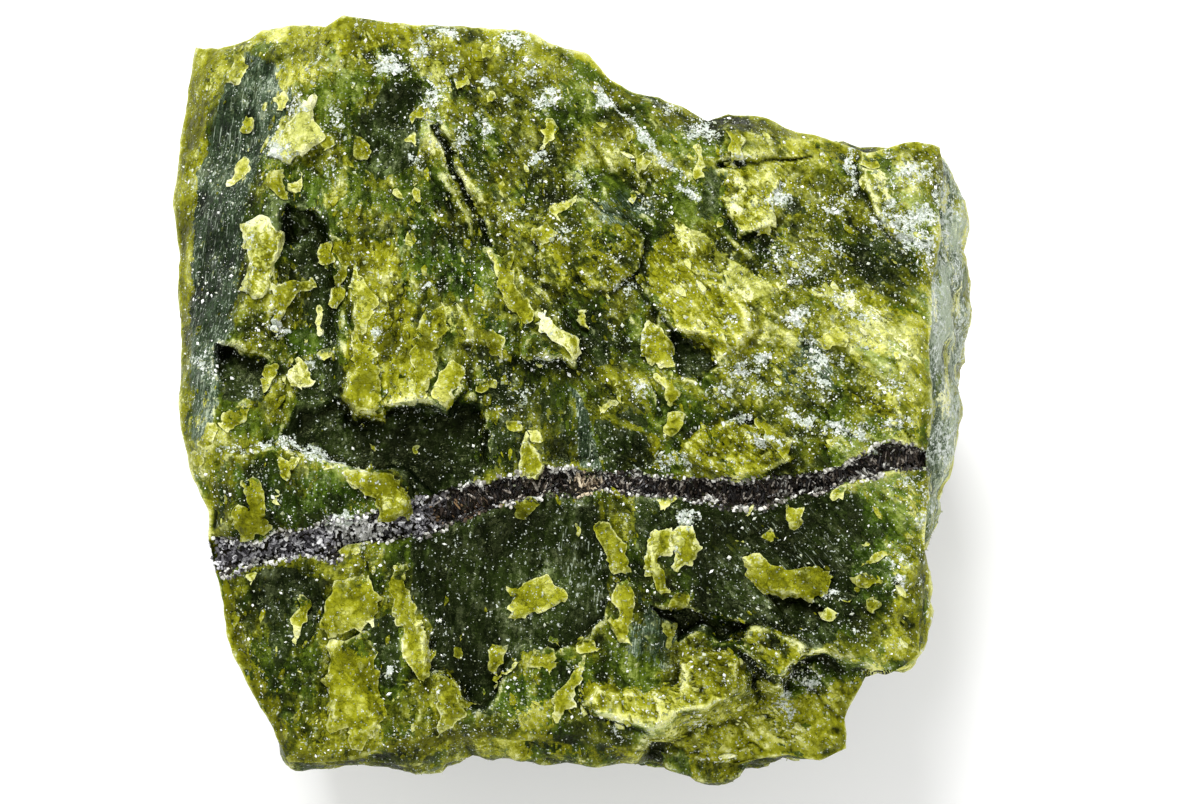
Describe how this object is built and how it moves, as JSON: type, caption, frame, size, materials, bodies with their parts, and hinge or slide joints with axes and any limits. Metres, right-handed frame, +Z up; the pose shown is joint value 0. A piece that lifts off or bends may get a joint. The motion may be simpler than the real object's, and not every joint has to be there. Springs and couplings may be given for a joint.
{
  "type": "raw serpentine stone",
  "caption": "Rough broken piece of natural green serpentine with ledges, flakes and one dark fibrous vein, lying on its flat back.",
  "frame": {"origin": "centre of the stone's bounding box, at the height of the flat back that it rests on", "axes": "+X along the face's width, +Y away from the front edge towards the high edge, +Z up out of the broad face"},
  "size_m": [0.0734, 0.0666, 0.042],
  "materials": {
    "serpentine": "satin"
  },
  "bodies": {
    "root": {"serpentine": "serpentine"}
  },
  "joints": []
}
